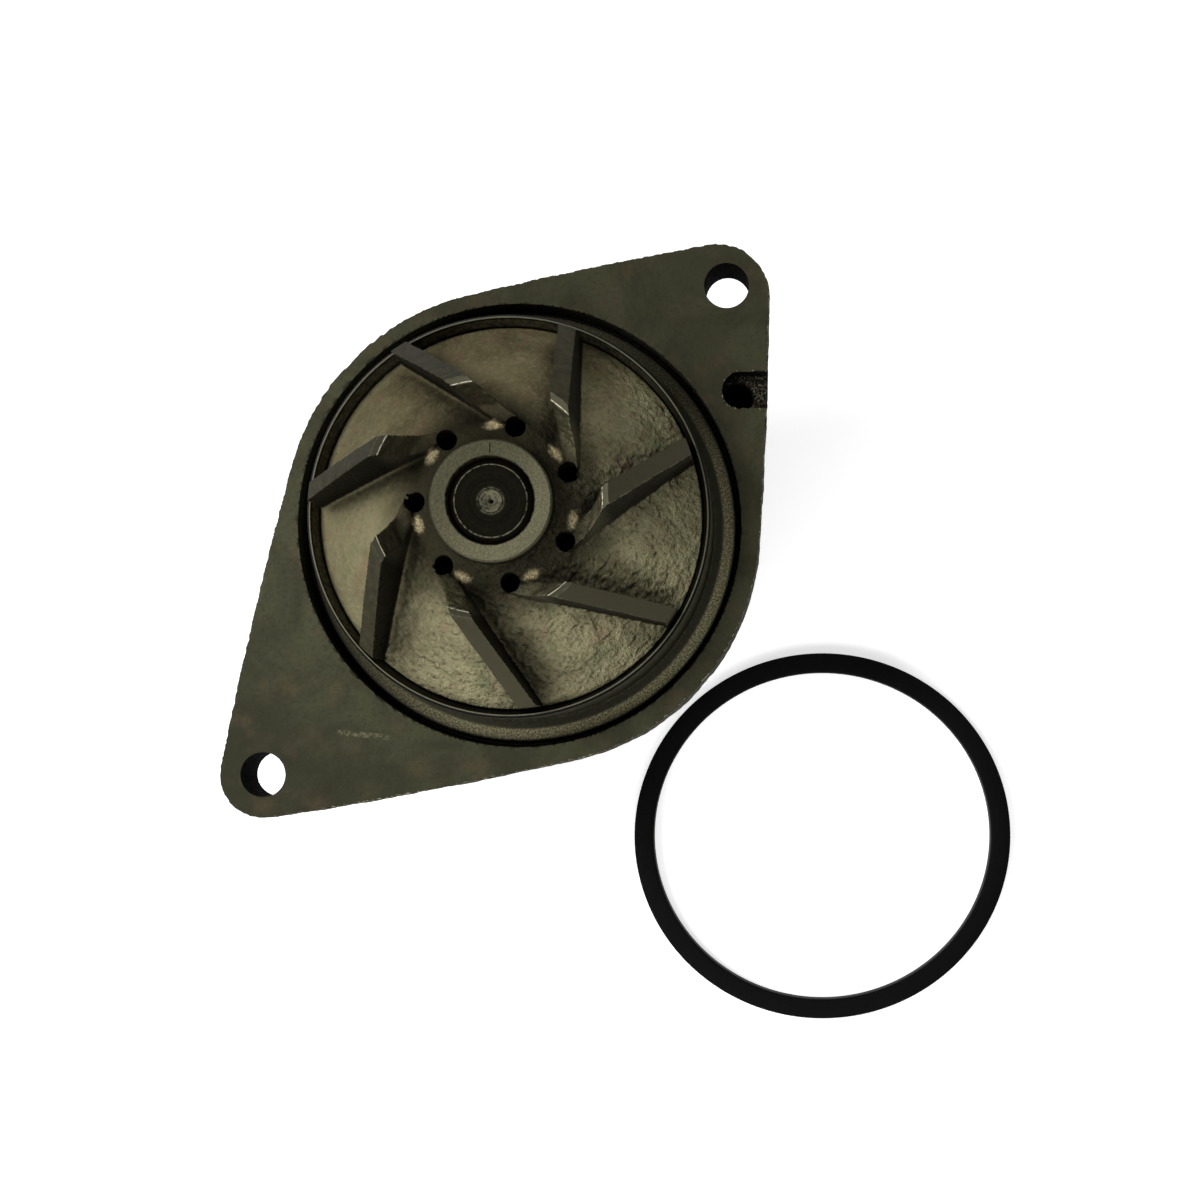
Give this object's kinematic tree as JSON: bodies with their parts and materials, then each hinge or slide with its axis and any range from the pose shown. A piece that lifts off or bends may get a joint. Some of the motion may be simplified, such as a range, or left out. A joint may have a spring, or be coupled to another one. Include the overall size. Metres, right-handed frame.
{
  "type": "water pump",
  "caption": "Engine water pump: diamond flange with bolt ears, pilot spigot, open conical impeller, face-sealed shaft in a ball bearing, ribbed-belt pulley and a loose flange seal ring.",
  "frame": {"origin": "shaft axis at the flange's machined mounting face", "axes": "+Z along the shaft towards the impeller and the engine; +X along the line of the two bolt holes"},
  "size_m": [0.1513, 0.1825, 0.1042],
  "materials": {
    "body_iron": "machined face with dark oxide, as-cast back",
    "impeller_iron": "as-cast grain, machined vane tops and hub",
    "shaft_steel": "turned end face",
    "bearing_steel": "ground",
    "spring_steel": "drawn",
    "pulley_paint": "satin black on steel",
    "seal_brass": "pressed sheet",
    "seal_rubber": "moulded",
    "flange_rubber": "satin moulded",
    "carbon": "lapped carbon graphite",
    "ceramic": "lapped ceramic",
    "cage_nylon": "moulded nylon"
  },
  "bodies": {
    "pump_body": {"flange": "body_iron", "pilot_spigot": "body_iron", "bearing_boss": "body_iron", "boss_ribs": "body_iron", "weep_rib": "body_iron", "bearing_outer_sleeve": "bearing_steel", "bearing_seal_impeller_end": "seal_rubber", "bearing_seal_pulley_end": "seal_rubber", "seal_case": "seal_brass", "seal_bellows": "seal_rubber", "bellows_clamp_ring": "seal_brass", "seal_spring": "spring_steel"},
    "rotor": {"pump_shaft": "shaft_steel", "impeller": "impeller_iron", "drive_pulley": "pulley_paint", "slinger_ring": "spring_steel", "mating_ring": "ceramic", "mating_ring_cup": "seal_rubber"},
    "seal_face": {"carbon_face_ring": "carbon", "face_ring_retainer": "seal_brass"},
    "ball_set_impeller_end": {"balls_impeller_end": "bearing_steel", "ball_cage_impeller_end": "cage_nylon"},
    "ball_set_pulley_end": {"balls_pulley_end": "bearing_steel", "ball_cage_pulley_end": "cage_nylon"},
    "loose_seal_ring": {"flange_seal_ring": "flange_rubber"}
  },
  "joints": [
    {"name": "shaft_spin", "type": "hinge", "parent": "pump_body", "child": "rotor", "pos_m": [0, 0, -0.036], "axis": [0, 0, 1], "continuous": true},
    {"name": "ball_set_impeller_end_spin", "type": "hinge", "parent": "pump_body", "child": "ball_set_impeller_end", "pos_m": [0, 0, -0.026], "axis": [0, 0, 1], "continuous": true},
    {"name": "ball_set_pulley_end_spin", "type": "hinge", "parent": "pump_body", "child": "ball_set_pulley_end", "pos_m": [0, 0, -0.046], "axis": [0, 0, 1], "continuous": true},
    {"name": "seal_face_slide", "type": "slide", "parent": "pump_body", "child": "seal_face", "axis": [0, 0, 1], "range_m": [-0.0015, 0], "stiffness_N_per_m": 9000, "springref_m": 0.004, "deforming": ["seal_spring", "seal_bellows"]},
    {"name": "seal_ring_lift", "type": "slide", "parent": "pump_body", "child": "loose_seal_ring", "axis": [0, 0, 1], "range_m": [0, 0.03]}
  ],
  "couplings": [
    {"joint": "ball_set_impeller_end_spin", "follows": "shaft_spin", "ratio": 0.3495},
    {"joint": "ball_set_pulley_end_spin", "follows": "shaft_spin", "ratio": 0.3495}
  ]
}
